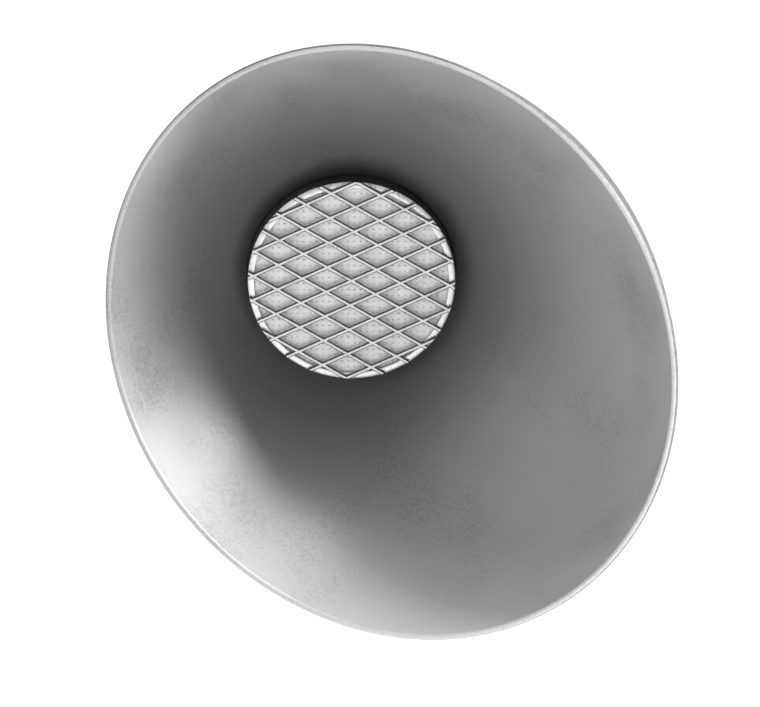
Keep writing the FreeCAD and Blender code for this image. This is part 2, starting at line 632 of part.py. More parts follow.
def make_orifice_holder():
    """The brass fitting: flare inlet, hexagon and a threaded shank that carries the jet."""
    nose = revolved("inlet", [
        ("0", "-inlet_nose_length"), ("inlet_nose", "-inlet_nose_length"), ("inlet_radius", "0"),
        ("inlet_radius", "hex_z"), ("0", "hex_z"),
    ])
    block = hexagon("holder_hexagon", "holder_hex", "air_box_z - bracket_sheet - hex_z", "hex_z")
    shank = cylinder("holder_shank", "shank_radius", "shank_end_z - (air_box_z - bracket_sheet)",
                     "air_box_z - bracket_sheet")
    bore = cylinder("holder_gas_way", "holder_bore", "shank_end_z + 2 * inlet_nose_length",
                    "-1.5 * inlet_nose_length")
    finish(less("holder_bored", fused("holder_solid", [nose, block, shank]), bore), "orifice_holder")
    washer = ring("shank_washer", "shank_radius + fit_gap", "holder_washer_radius",
                  "air_box_z + sheet_metal", "air_box_z + sheet_metal + washer_thick")
    finish(washer, "holder_washer")
    low = "air_box_z + sheet_metal + washer_thick"
    nut = less("lock_nut_threaded", hexagon("lock_nut_block", "lock_nut_hex", "lock_nut_height", low),
               cylinder("lock_nut_thread", "shank_radius + 0.02", "lock_nut_height", low))
    finish(nut, "holder_lock_nut")


def make_gas_jet():
    """The brass jet screwed into the shank, with a fine orifice in its nose."""
    thread = cylinder("jet_thread", "holder_bore - 0.02", "shank_end_z - jet_seat_z", "jet_seat_z")
    block = hexagon("jet_hexagon", "jet_hex", "jet_hex_height", "shank_end_z")
    nose = cylinder("jet_nose", "jet_nose_radius", "jet_end_z - shank_end_z", "shank_end_z")
    way = cylinder("jet_gas_way", "jet_way", "jet_end_z - jet_land - jet_seat_z", "jet_seat_z")
    orifice = cylinder("jet_orifice_bore", "jet_orifice", "jet_end_z - jet_seat_z + 1", "jet_seat_z")
    solid = fused("jet_solid", [thread, block, nose])
    finish(less("jet_bored", solid, fused("jet_ways", [way, orifice])), "gas_jet")


# Mounting bracket ----------------------------------------------------------------------------------


def make_bracket():
    """A bent plate: its upright is clamped behind the air box and its foot takes four screws."""
    body = doc.addObject("PartDesign::Body", "bracket")
    pad = body.newObject("PartDesign::Pad", "bracket_bent")
    rear, front = "air_box_z - bracket_sheet", "air_box_z"
    pad.Profile = outline(body, "bracket_profile", "YZ_Plane", [
        ("-bracket_reach", rear), ("bracket_head", rear), ("bracket_head", front),
        ("-bracket_reach + bracket_sheet", front), ("-bracket_reach + bracket_sheet", "bracket_end_z"),
        ("-bracket_reach", "bracket_end_z"),
    ])
    pad.Midplane = True
    pad.setExpression("Length", formula("bracket_width"))
    body.Tip = pad
    doc.recompute()
    reach, back = -number("bracket_reach"), number(rear)
    corner = [
        f"Edge{i}" for i, edge in enumerate(pad.Shape.Edges, start=1)
        if abs(edge.CenterOfMass.y - reach) < 1e-6 and abs(edge.CenterOfMass.z - back) < 1e-6
    ]
    bend = body.newObject("PartDesign::Fillet", "bracket_bend_round")
    bend.Base = (pad, corner)
    bend.setExpression("Radius", formula("bracket_bend"))
    body.Tip = bend
    doc.recompute()
    cut_through(body, "bracket_shank_hole",
                circles(body, "bracket_shank_sketch", "XY_Plane", [("0", "0")], "shank_radius + fit_gap"))
    half = "mount_hole_span / 2"
    centres = [(side + half, along) for side in ("-", "")
               for along in ("mount_hole_z", "mount_hole_z + mount_hole_rise")]
    cut_through(body, "bracket_mount_holes",
                circles(body, "bracket_mount_sketch", "XZ_Plane", centres, "mount_hole_radius"))
    finish(body, "mounting_bracket")


make_reflector()
make_throat_collar()
make_burner_cup()
make_mesh_screen()
make_tile()
make_plenum()
make_flange_screws("plenum", "plenum_bolt_circle", PLENUM_SCREWS, PLENUM_SCREW_START,
                   "(flange_z - gasket_thick - sheet_metal)", "(flange_z + sheet_metal)")
make_mixer_tube()
make_flange_screws("tube", "tube_bolt_circle", TUBE_SCREWS, TUBE_SCREW_START,
                   "(plenum_floor_z - gasket_thick - sheet_metal)", "(plenum_floor_z + sheet_metal)")
make_air_box()
make_air_shutter()
make_orifice_holder()
make_gas_jet()
make_bracket()
doc.recompute()

failed = [f"{piece.Name}: {piece.State}" for piece in doc.Objects
          if "Invalid" in piece.State or "Error" in piece.State]
failed += [piece.Label for piece in finished if piece.Shape.isNull() or not piece.Shape.isValid()]
if failed:
    raise SystemExit("failed: " + ", ".join(failed))

os.makedirs("parts", exist_ok=True)
for piece in finished:
    piece.Shape.exportStep(os.path.join("parts", piece.Label + ".step"))
    box = piece.Shape.BoundBox
    print(f"{piece.Label:20s} solids {len(piece.Shape.Solids):2d}  volume {piece.Shape.Volume:9.1f}  "
          f"x {box.XMin:7.1f} {box.XMax:7.1f}  y {box.YMin:7.1f} {box.YMax:7.1f}  z {box.ZMin:7.1f} {box.ZMax:7.1f}")
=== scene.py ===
"""A radiant gas burner with a deep raked reflector, shown in a pale studio.

Every new piece is modelled about an upright axis, with Z running from the gas inlet to the fire side,
and is then laid over so that this axis points along -Y, as it does in the frame. The burner's own sizes
are written in millimetres, and MM brings them to the frame's metres.
"""
import math

import bpy
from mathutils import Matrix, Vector


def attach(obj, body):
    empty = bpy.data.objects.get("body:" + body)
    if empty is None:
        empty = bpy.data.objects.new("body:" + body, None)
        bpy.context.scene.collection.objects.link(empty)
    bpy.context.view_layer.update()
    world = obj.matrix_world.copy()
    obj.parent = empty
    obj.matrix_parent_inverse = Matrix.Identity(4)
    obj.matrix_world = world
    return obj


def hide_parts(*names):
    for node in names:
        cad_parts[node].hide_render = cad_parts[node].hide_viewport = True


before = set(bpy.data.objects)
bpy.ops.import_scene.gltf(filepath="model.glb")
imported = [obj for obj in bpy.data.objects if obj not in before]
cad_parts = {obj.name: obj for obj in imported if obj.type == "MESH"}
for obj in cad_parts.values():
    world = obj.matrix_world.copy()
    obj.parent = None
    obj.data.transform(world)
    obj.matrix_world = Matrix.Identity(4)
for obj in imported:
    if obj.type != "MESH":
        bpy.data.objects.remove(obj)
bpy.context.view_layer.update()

MM = 0.001
bpy.ops.object.select_all(action="DESELECT")

# --- Studio ------------------------------------------------------------------------------------------
# A pale floor runs up into a pale backdrop well behind the burner, and its paper gives off a little light of
# its own. Two small softboxes, to the right and overhead, throw the rim's shadow into the reflector, and two
# wide dim ones fill the rest.

SCREEN_MIDDLE = Vector((0, -190.2 * MM, 0))
CAMERA_HEIGHT_ANGLE = math.radians(18.91)
CAMERA_DISTANCE = 2.4
LENS = 299.6
AIM_RIGHT = 10.78 * MM
AIM_DOWN = 27.36 * MM
FLOOR_LEVEL = -0.42
FLOOR_WIDTH = 14
BACKDROP_HEIGHT = 9
SWEEP_RADIUS = 2.5
AIR_LIGHT = 0.46
PAPER_LIGHT = 0.26

bpy.ops.object.camera_add()
camera = bpy.context.object
camera.name = "studio_camera"
toward_camera = Vector((0, -math.cos(CAMERA_HEIGHT_ANGLE), math.sin(CAMERA_HEIGHT_ANGLE)))
view_up = Vector((0, math.sin(CAMERA_HEIGHT_ANGLE), math.cos(CAMERA_HEIGHT_ANGLE)))
camera.location = SCREEN_MIDDLE + CAMERA_DISTANCE * toward_camera
aim = SCREEN_MIDDLE + Vector((AIM_RIGHT, 0, 0)) - AIM_DOWN * view_up
camera.rotation_euler = (aim - camera.location).to_track_quat("-Z", "Y").to_euler()
camera.data.lens = LENS
camera.data.sensor_width = 36
camera.data.clip_end = 30
bpy.context.scene.camera = camera
bpy.context.scene.view_settings.view_transform = "Standard"


def softbox(name, direction, distance, size, power):
    """A square lamp that looks at the burner from a direction, at a distance."""
    bpy.ops.object.light_add(type="AREA")
    lamp = bpy.context.object
    lamp.name = name
    lamp.location = SCREEN_MIDDLE + distance * Vector(direction).normalized()
    lamp.rotation_euler = (SCREEN_MIDDLE - lamp.location).to_track_quat("-Z", "Y").to_euler()
    lamp.data.size = size
    lamp.data.energy = power


softbox("key_softbox", (0.73, -0.47, 0.5), 2.2, 0.36, 66)
softbox("overhead_softbox", (0.2, -0.27, 0.94), 2.2, 0.34, 15)
softbox("fill_softbox_left", (-0.75, -0.55, 0.35), 2.4, 1.4, 9)
softbox("rear_softbox", (0.3, 0.7, 0.65), 2.4, 1.6, 7)

world = bpy.data.worlds.new("studio_air")
bpy.context.scene.world = world
world.use_nodes = True
background = world.node_tree.nodes["Background"]
background.inputs["Color"].default_value = (0.86, 0.87, 0.88, 1)
background.inputs["Strength"].default_value = AIR_LIGHT


def pick_edges(piece, chosen):
    """Selects the edges whose two ends suit chosen, and leaves the piece in edit mode."""
    bpy.ops.object.mode_set(mode="EDIT")
    bpy.ops.mesh.select_all(action="DESELECT")
    bpy.ops.object.mode_set(mode="OBJECT")
    for edge in piece.data.edges:
        edge.select = chosen(*[piece.data.vertices[i].co for i in edge.vertices])
    bpy.ops.object.mode_set(mode="EDIT")
    bpy.ops.mesh.select_mode(type="EDGE")


bpy.ops.mesh.primitive_plane_add(size=FLOOR_WIDTH, location=(0, 0, FLOOR_LEVEL))
floor = bpy.context.object
floor.name = "studio_floor"
pick_edges(floor, lambda start, end: min(start.y, end.y) > FLOOR_WIDTH / 2 - 1)
bpy.ops.mesh.extrude_region_move(TRANSFORM_OT_translate={"value": (0, 0, BACKDROP_HEIGHT)})
bpy.ops.object.mode_set(mode="OBJECT")
sweep = floor.modifiers.new("sweep", "BEVEL")
sweep.width = SWEEP_RADIUS
sweep.segments = 16
bpy.ops.object.modifier_apply(modifier="sweep")
bpy.ops.object.shade_smooth()
paper = bpy.data.materials.new("backdrop_paper")
paper.use_nodes = True
paper_shader = paper.node_tree.nodes["Principled BSDF"]
paper_shader.inputs["Base Color"].default_value = (0.93, 0.93, 0.93, 1)
paper_shader.inputs["Roughness"].default_value = 0.9
paper_shader.inputs["Emission Color"].default_value = (1, 1, 1, 1)
paper_shader.inputs["Emission Strength"].default_value = PAPER_LIGHT
floor.data.materials.append(paper)

# --- Reflector ---------------------------------------------------------------------------------------
# The reflector is one spun dish of thin aluminised steel with a curled edge. Its mouth is raked from the
# burner's axis, and its hole is punched square to that axis. Its colour is darkened round the hole as
# painted shade of the deep throat, and its back and the outside of its curl are painted darker as painted
# shade.

BOWL_RADIUS = 117.04
BOWL_SHEET = 0.9
BOWL_CENTRE = 292.1
BOWL_RAKE = math.radians(24.24)
RIM_DROP = 31.5
BEAD_RADIUS = 1.3
HOLE_DEPTH = 109.92
DISH_STEPS = 30
BACK_MARGIN = 0.5
CURL_MARGIN = 2.0
MERGE_DISTANCE = 0.002
SMOOTH_ANGLE = math.radians(32)
COLOUR_RAMP = (0.72, 0.98)
ROUGHNESS_RAMP = (0.7, 1.3)
ROUGHNESS_SPREAD = 0.08
BUMP_STRENGTH = 0.35


def only(piece):
    """Makes piece the one selected and active object."""
    bpy.ops.object.select_all(action="DESELECT")
    piece.select_set(True)
    bpy.context.view_layer.objects.active = piece
    return piece


def settled(piece):
    """Applies a piece's own location, rotation and scale to its mesh."""
    only(piece)
    bpy.ops.object.transform_apply(location=True, rotation=True, scale=True)
    return piece


def shape(piece, kind, **settings):
    """Adds a modifier to piece and applies it."""
    only(piece)
    modifier = piece.modifiers.new(kind.lower(), kind)
    for setting, value in settings.items():
        setattr(modifier, setting, value)
    bpy.ops.object.modifier_apply(modifier=modifier.name)
    return piece


def first_point(name, x, y, z):
    """Starts a piece as a single point, and leaves it in edit mode so that the point can be extruded."""
    bpy.ops.object.select_all(action="DESELECT")
    bpy.ops.mesh.primitive_plane_add(size=MM, location=(x * MM, y * MM, z * MM))
    piece = bpy.context.object
    piece.name = name
    settled(piece)
    bpy.ops.object.mode_set(mode="EDIT")
    bpy.ops.mesh.select_mode(type="VERT")
    bpy.ops.mesh.select_all(action="SELECT")
    bpy.ops.mesh.merge(type="CENTER")
    return piece


def turned(name, outline, closed=True, steps=96, soft=0.0):
    """Spins a line of (radius, height) points about the Z axis, and softens its edges."""
    start_radius, start_height = outline[0]
    piece = first_point(name, start_radius, 0, start_height)
    line = outline + outline[:1] if closed else outline
    for (r0, z0), (r1, z1) in zip(line, line[1:]):
        step = ((r1 - r0) * MM, 0, (z1 - z0) * MM)
        bpy.ops.mesh.extrude_region_move(TRANSFORM_OT_translate={"value": step})
    bpy.ops.mesh.select_all(action="SELECT")
    bpy.ops.mesh.spin(steps=steps, angle=math.tau, center=(0, 0, 0), axis=(0, 0, 1))
    bpy.ops.mesh.select_all(action="SELECT")
    bpy.ops.mesh.remove_doubles(threshold=MERGE_DISTANCE * MM)
    bpy.ops.mesh.normals_make_consistent(inside=False)
    bpy.ops.object.mode_set(mode="OBJECT")
    if soft:
        shape(piece, "BEVEL", width=soft * MM, segments=2, limit_method="ANGLE", angle_limit=0.7)
    return piece


def lay_over(piece, body, slot, material, *nodes):
    """Lays a finished piece along the burner's axis, gives it its body and material, and hides its CAD
    nodes. The slot is not used.
    """
    piece.rotation_euler = (math.radians(90), 0, 0)
    settled(piece)
    bpy.ops.object.shade_smooth_by_angle(angle=SMOOTH_ANGLE)
    piece.data.materials.clear()
    piece.data.materials.append(material)
    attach(piece, body)
    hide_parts(*nodes)


def second_material(piece, material, chosen):
    """Gives a finished piece a second material on the faces that suit chosen."""
    piece.data.materials.append(material)
    for face in piece.data.polygons:
        if chosen(face):
            face.material_index = 1


def surface(name, dark, light, rough, metallic, grain, relief, cloud=45):
    """A material whose colour and roughness vary in clouds and specks, with a fine relief."""
    material = bpy.data.materials.new(name)
    material.use_nodes = True
    nodes, link = material.node_tree.nodes, material.node_tree.links.new
    shader = nodes["Principled BSDF"]
    shader.inputs["Metallic"].default_value = metallic
    place = nodes.new("ShaderNodeTexCoord")
    clouds = nodes.new("ShaderNodeTexNoise")
    clouds.inputs["Scale"].default_value = cloud
    clouds.inputs["Detail"].default_value = 5
    specks = nodes.new("ShaderNodeTexNoise")
    specks.inputs["Scale"].default_value = grain
    specks.inputs["Detail"].default_value = 3
    mixed = nodes.new("ShaderNodeMath")
    mixed.operation = "ADD"
    colours = nodes.new("ShaderNodeValToRGB")
    for stop, position, colour in zip(colours.color_ramp.elements, COLOUR_RAMP, (dark, light)):
        stop.position = position
        stop.color = (*colour, 1)
    roughness = nodes.new("ShaderNodeMapRange")
    roughness.inputs["From Min"].default_value = ROUGHNESS_RAMP[0]
    roughness.inputs["From Max"].default_value = ROUGHNESS_RAMP[1]
    roughness.inputs["To Min"].default_value = rough - ROUGHNESS_SPREAD
    roughness.inputs["To Max"].default_value = rough + ROUGHNESS_SPREAD
    bump = nodes.new("ShaderNodeBump")
    bump.inputs["Strength"].default_value = BUMP_STRENGTH
    bump.inputs["Distance"].default_value = relief * MM
    link(place.outputs["Object"], clouds.inputs["Vector"])
    link(place.outputs["Object"], specks.inputs["Vector"])
    link(clouds.outputs["Fac"], mixed.inputs[0])
    link(specks.outputs["Fac"], mixed.inputs[1])
    link(mixed.outputs["Value"], colours.inputs["Fac"])
    link(mixed.outputs["Value"], roughness.inputs["Value"])
    link(specks.outputs["Fac"], bump.inputs["Height"])
    link(colours.outputs["Color"], shader.inputs["Base Color"])
    link(roughness.outputs["Result"], shader.inputs["Roughness"])
    link(bump.outputs["Normal"], shader.inputs["Normal"])
    return material


def painted_throat_shade(material, near, far, darkest):
    """Paints shade into a material by darkening it towards the burner's axis, from far to near millimetres
    away from it.
    """
    nodes, link = material.node_tree.nodes, material.node_tree.links.new
    shader = nodes["Principled BSDF"]
    colour = shader.inputs["Base Color"].links[0].from_socket
    across = nodes.new("ShaderNodeMapping")
    across.inputs["Scale"].default_value = (1, 0, 1)
    distance = nodes.new("ShaderNodeVectorMath")
    distance.operation = "LENGTH"
    shade_falloff = nodes.new("ShaderNodeMapRange")
    shade_falloff.interpolation_type = "SMOOTHSTEP"
    shade_falloff.inputs["From Min"].default_value = near * MM
    shade_falloff.inputs["From Max"].default_value = far * MM
    shade_falloff.inputs["To Min"].default_value = darkest
    shade_falloff.inputs["To Max"].default_value = 1
    shaded_colour = nodes.new("ShaderNodeMix")
    shaded_colour.data_type = "RGBA"
    shaded_colour.blend_type = "MULTIPLY"
    shaded_colour.inputs["Factor"].default_value = 1
    link(nodes["Texture Coordinate"].outputs["Object"], across.inputs["Vector"])
    link(across.outputs["Vector"], distance.inputs[0])
    link(distance.outputs["Value"], shade_falloff.inputs["Value"])
    link(colour, shaded_colour.inputs["A"])
    link(shade_falloff.outputs["Result"], shaded_colour.inputs["B"])
    link(shaded_colour.outputs["Result"], shader.inputs["Base Color"])


def on_outside(face):
    """Whether a face of the finished reflector is on its back or on the outside of its curl."""
    away = face.center - Vector((0, -BOWL_CENTRE * MM, 0))
    bowl_axis = Vector((-math.sin(BOWL_RAKE), -math.cos(BOWL_RAKE), 0))
    along = away.dot(bowl_axis)
    aside = (away - along * bowl_axis).length
    behind = away.length > (BOWL_RADIUS + BACK_MARGIN) * MM and along < -(RIM_DROP + BACK_MARGIN) * MM
    return behind or aside > (rim_radius + CURL_MARGIN) * MM


rim_radius = math.sqrt(BOWL_RADIUS ** 2 - RIM_DROP ** 2)
rim_angle = math.degrees(math.acos(RIM_DROP / BOWL_RADIUS))
bowl_turns = [math.radians(rim_angle * i / DISH_STEPS) for i in range(DISH_STEPS + 1)]
dish = [(BOWL_RADIUS * math.sin(turn), -BOWL_RADIUS * math.cos(turn)) for turn in bowl_turns]
bead_turns = [math.radians(turn) for turn in range(150, -151, -25)]
dish += [(rim_radius + BEAD_RADIUS * (1 + math.cos(turn)), -RIM_DROP + BEAD_RADIUS * math.sin(turn))
         for turn in bead_turns]
reflector = turned("spun_reflector", dish, closed=False, steps=192)
reflector.rotation_euler = (0, -BOWL_RAKE, 0)
settled(reflector)
bpy.ops.object.mode_set(mode="EDIT")
bpy.ops.mesh.select_all(action="SELECT")
bpy.ops.mesh.bisect(plane_co=(0, 0, -HOLE_DEPTH * MM), plane_no=(0, 0, 1), clear_inner=True)
bpy.ops.object.mode_set(mode="OBJECT")
shape(reflector, "SOLIDIFY", thickness=BOWL_SHEET * MM, offset=-1)
reflector.location.z = BOWL_CENTRE * MM
settled(reflector)

aluminised = surface("aluminised_steel", (0.5, 0.5, 0.495), (0.62, 0.62, 0.615), 0.48, 0.45, 850, 0.05, 30)
# Painted shade: the reflector's colour darkens towards the hole, where the deep throat lies in shade.
painted_throat_shade(aluminised, near=40, far=134, darkest=0.12)
# Painted shade: the reflector's back and the outside of its curl get a much darker colour, standing in for
# the shade that outlines the rim.
painted_shade_back = surface("painted_shade_back", (0.13, 0.13, 0.13), (0.24, 0.24, 0.235), 0.55, 0.6, 850, 0.05, 30)
lay_over(reflector, "burner", "reflector_metal", aluminised, "reflector")
second_material(reflector, painted_shade_back, on_outside)

# --- Throat collar -----------------------------------------------------------------------------------
# A sleeve of 1.2 mm steel sits behind the reflector on the burner cup. Its conical flange is tacked to the
# bowl with eight short welds, and four pan-head screws hold the sleeve to the cup.

FLANGE_GAP = 0.3
BOWL_BACK = BOWL_RADIUS + BOWL_SHEET + FLANGE_GAP
COLLAR_SHEET = 1.2
COLLAR_INNER = 39.75
COLLAR_OUTER = COLLAR_INNER + COLLAR_SHEET
COLLAR_FLANGE = 53.0
COLLAR_END = 167.6
PAN_RADIUS = 3.0
PAN_HEIGHT = 1.9
PAN_DRIVE = 3.4


def behind_bowl(radius):
    """The height of the collar's flange, just off the back of the bowl."""
    return BOWL_CENTRE - math.sqrt(BOWL_BACK ** 2 - radius ** 2)


def joined(name, pieces):
    """Joins pieces into one object with that name."""
    bpy.ops.object.select_all(action="DESELECT")
    for piece in pieces:
        piece.select_set(True)
    bpy.context.view_layer.objects.active = pieces[0]
    bpy.ops.object.join()
    pieces[0].name = name
    return pieces[0]


def copied_round(name, model, turns):
    """Copies a model about the Z axis by each turn, in degrees, and joins the copies."""
    copies = []
    for turn in turns:
        copy = model.copy()
        copy.data = model.data.copy()
        bpy.context.collection.objects.link(copy)
        copy.rotation_euler = (0, 0, math.radians(turn))
        copies.append(settled(copy))
    bpy.data.objects.remove(model)
    return joined(name, copies)


def round_bar(name, radius, low, high, across=0.0, sides=24):
    """An upright bar from low to high, standing across from the axis."""
    bpy.ops.object.select_all(action="DESELECT")
    bpy.ops.mesh.primitive_cylinder_add(vertices=sides, radius=radius * MM, depth=(high - low) * MM,
                                        location=(across * MM, 0, (low + high) / 2 * MM))
    bar = bpy.context.object
    bar.name = name
    return settled(bar)


def box(name, middle, sides, turns=(0, 0, 0)):
    """A block round a middle point, with sides of three lengths, turned about its middle by degrees."""
    bpy.ops.object.select_all(action="DESELECT")
    bpy.ops.mesh.primitive_cube_add(size=MM, location=[MM * along for along in middle])
    block = bpy.context.object
    block.name = name
    block.scale = sides
    block.rotation_euler = [math.radians(turn) for turn in turns]
    return settled(block)


def cut(piece, tool, how="DIFFERENCE"):
    """Cuts piece with a tool, which is then thrown away."""
    shape(piece, "BOOLEAN", operation=how, solver="EXACT", object=tool)
    bpy.data.objects.remove(tool)
    return piece


def side_screw(name, reach, height, shank):
    """A pan-head screw that points at the axis from +X, with a crossed drive and a short shank."""
    screw = turned(name, [
        (0, -shank), (PAN_RADIUS * 0.53, -shank), (PAN_RADIUS * 0.53, 0), (PAN_RADIUS, 0),
        (PAN_RADIUS, PAN_HEIGHT * 0.45), (PAN_RADIUS * 0.82, PAN_HEIGHT * 0.85),
        (PAN_RADIUS * 0.45, PAN_HEIGHT), (0, PAN_HEIGHT)], closed=False, steps=32)
    blade = (PAN_DRIVE, PAN_DRIVE * 0.24, PAN_HEIGHT * 0.9)
    for turn in (20, 110):
        cut(screw, box("drive", (0, 0, PAN_HEIGHT), blade, (0, 0, turn)))
    screw.rotation_euler = (0, math.radians(90), 0)
    screw.location = (reach * MM, 0, height * MM)
    return settled(screw)


collar = turned("throat_sleeve", [
    (COLLAR_INNER, COLLAR_END), (COLLAR_OUTER, COLLAR_END),
    (COLLAR_OUTER, behind_bowl(COLLAR_OUTER) - COLLAR_SHEET),
    (COLLAR_FLANGE, behind_bowl(COLLAR_FLANGE) - COLLAR_SHEET),
    (COLLAR_FLANGE, behind_bowl(COLLAR_FLANGE)), (COLLAR_INNER, behind_bowl(COLLAR_INNER))], soft=0.2)
weld = round_bar("weld", 1.5, -1.4, 1.4, sides=16)
bpy.ops.object.mode_set(mode="EDIT")
bpy.ops.mesh.bevel(offset=0.8 * MM, segments=3, affect="EDGES")
bpy.ops.transform.resize(value=(1, 1.9, 0.8))
bpy.ops.object.mode_set(mode="OBJECT")
weld.location = ((COLLAR_FLANGE - 0.4) * MM, 0, (behind_bowl(COLLAR_FLANGE) - 0.9) * MM)
welds = copied_round("collar_welds", settled(weld), [22.5 + 45 * i for i in range(8)])
collar = joined("throat_sleeve", [collar, welds])
sheet_steel = surface("sheet_steel", (0.25, 0.25, 0.245), (0.4, 0.4, 0.39), 0.46, 1, 700, 0.04)
lay_over(collar, "burner", "sheet_metal", sheet_steel, "throat_collar")

sleeve_screw = side_screw("sleeve_screw", COLLAR_OUTER, height=171.2, shank=3.1)
collar_screws = copied_round("sleeve_screws", sleeve_screw, [0, 90, 180, 270])
zinc_plate = surface("zinc_plate", (0.4, 0.4, 0.385), (0.58, 0.58, 0.56), 0.34, 1, 1500, 0.02, 200)
lay_over(collar_screws, "burner", "fastener_steel", zinc_plate, "collar_screws")

# --- Burner cup --------------------------------------------------------------------------------------
# The drawn steel cup holds the tile. Its mouth is turned in to a lip that keeps the tile from falling out,
# and its rear flange is drilled for the plenum's six screws. Its colour is near black as painted shade, and
# its lip is pale as a painted highlight.

CUP_TOP = 189.6
LIP_BACK = 189.1
SCREW_HOLE = 2.2
PLENUM_CIRCLE = 44.0
PLENUM_BOLTS = [15 + 60 * i for i in range(6)]


def drilled(piece, low, high, circle, turns):
    """Drills a flange between two heights for a circle of screws."""
    cut(piece, copied_round("drills", round_bar("drill", SCREW_HOLE, low, high, circle), turns))


cup = turned("drawn_cup", [
    (38.6, 162.4), (49.0, 162.4), (49.0, 163.4), (40.1, 163.4), (39.6, 163.9), (39.6, 188.6), (39.3, 189.3),
    (38.6, CUP_TOP), (37.1, CUP_TOP), (36.9, 189.4), (36.9, 188.6), (38.6, 188.6)], steps=128, soft=0.12)
drilled(cup, 160, 166, PLENUM_CIRCLE, PLENUM_BOLTS)
# Painted shade: the cup's colour is near black, standing in for the shadow in the gap behind the reflector's
# hole.
painted_shade_steel = surface("painted_shade_steel", (0.05, 0.05, 0.05), (0.12, 0.115, 0.11), 0.55, 0.7, 900, 0.04)
# Painted highlight: the lip's colour is pale, standing in for the light that its edge catches.
painted_highlight_lip = surface("painted_highlight_lip", (0.62, 0.62, 0.6), (0.85, 0.85, 0.83), 0.35, 0.6, 900, 0.03)
lay_over(cup, "burner", "cup_metal", painted_shade_steel, "burner_cup")
second_material(cup, painted_highlight_lip, lambda face: face.center.y < -LIP_BACK * MM)

# --- Mesh screen -------------------------------------------------------------------------------------
# The screen is flattened expanded steel: one sheet slit and pulled open into diamonds, then cut round and
# laid on the cup's lip, so its cut strands end all along its edge.

DIAMOND_LONG = 18.66
DIAMOND_SHORT = 9.83
STRAND = 1.6
STRAND_SOFTNESS = 0.42
SCREEN_SHEET = 1.2
SCREEN_RADIUS = 39.3
SCREEN_TURN = math.radians(-3)
SCREEN_SHIFT = 0.4
CELLS = 10
FLAT_ENOUGH = 0.98

bpy.ops.object.select_all(action="DESELECT")
bpy.ops.mesh.primitive_grid_add(x_subdivisions=CELLS, y_subdivisions=CELLS, size=CELLS * MM)
screen = bpy.context.object
screen.name = "expanded_screen"
screen.rotation_euler = (0, 0, math.radians(45))
settled(screen)
screen.scale = (DIAMOND_LONG / math.sqrt(2), DIAMOND_SHORT / math.sqrt(2), 1)
settled(screen)
bpy.ops.object.mode_set(mode="EDIT")
bpy.ops.mesh.select_mode(type="FACE")
bpy.ops.mesh.select_all(action="SELECT")
bpy.ops.mesh.inset(thickness=STRAND / 2 * MM, use_individual=True)
bpy.ops.mesh.delete(type="FACE")
bpy.ops.mesh.select_mode(type="VERT")
bpy.ops.mesh.select_all(action="SELECT")
bpy.ops.mesh.remove_doubles(threshold=MERGE_DISTANCE * MM)
bpy.ops.mesh.normals_make_consistent(inside=False)
bpy.ops.object.mode_set(mode="OBJECT")
shape(screen, "SOLIDIFY", thickness=SCREEN_SHEET * MM, offset=0)
shape(screen, "BEVEL", width=STRAND_SOFTNESS * MM, segments=2, limit_method="ANGLE", angle_limit=0.9)
cut(screen, round_bar("screen_die", SCREEN_RADIUS, -2, 2, sides=128), "INTERSECT")
screen.rotation_euler = (0, 0, SCREEN_TURN)
screen.location = (0, SCREEN_SHIFT * MM, (CUP_TOP + SCREEN_SHEET / 2) * MM)
settled(screen)
bright_strand = surface("bright_strand", (0.5, 0.5, 0.49), (0.74, 0.74, 0.73), 0.45, 0.5, 1200, 0.03, 120)
# Painted shade: the strands' sides get a near black colour, standing in for the shadow lines along each
# strand.
painted_shade_edge = surface("painted_shade_edge", (0.03, 0.03, 0.03), (0.09, 0.085, 0.08), 0.6, 0.4, 1200, 0.03, 120)
lay_over(screen, "burner", "screen_wire", bright_strand, "mesh_screen")
second_material(screen, painted_shade_edge, lambda face: abs(face.normal.y) < FLAT_ENOUGH)

# --- Ceramic tile ------------------------------------------------------------------------------------
# The gas burns on the face of a pale pressed ceramic tile, pierced by rows of fine holes. A fibre band
# wedges it in the cup. Only the holes' mouths are modelled, because no light reaches the rest.

TILE_RADIUS = 37.2
TILE_FACE = 188.4
TILE_BACK = 175.4
PORE_PITCH = 2.4
PORE_INSET = 0.72
PORE_CORNER = 0.27
PORE_DEPTH = 0.5
PORE_AREA = 1.2e-6
ROWS = 32

bpy.ops.object.select_all(action="DESELECT")
bpy.ops.mesh.primitive_grid_add(x_subdivisions=ROWS, y_subdivisions=ROWS, size=ROWS * PORE_PITCH * MM,
                                location=(0, 0, TILE_FACE * MM))
tile = bpy.context.object
tile.name = "pierced_tile"
settled(tile)
bpy.ops.object.mode_set(mode="EDIT")
bpy.ops.mesh.select_mode(type="FACE")
bpy.ops.mesh.select_all(action="SELECT")
bpy.ops.mesh.inset(thickness=PORE_INSET * MM, use_individual=True)
bpy.ops.mesh.bevel(offset=PORE_CORNER * MM, affect="VERTICES")
bpy.ops.object.mode_set(mode="OBJECT")
for face in tile.data.polygons:
    face.select = len(face.vertices) == 8 and face.area < PORE_AREA
bpy.ops.object.mode_set(mode="EDIT")
bpy.ops.mesh.extrude_faces_move(TRANSFORM_OT_shrink_fatten={"value": -PORE_DEPTH * MM})
bpy.ops.mesh.select_mode(type="EDGE")
bpy.ops.mesh.select_all(action="DESELECT")
bpy.ops.mesh.select_non_manifold(extend=False, use_wire=False, use_boundary=True, use_multi_face=False,
                                 use_non_contiguous=False, use_verts=False)
bpy.ops.mesh.extrude_region_move(TRANSFORM_OT_translate={"value": (0, 0, (TILE_BACK - TILE_FACE) * MM)})
bpy.ops.mesh.edge_face_add()
bpy.ops.mesh.select_all(action="SELECT")
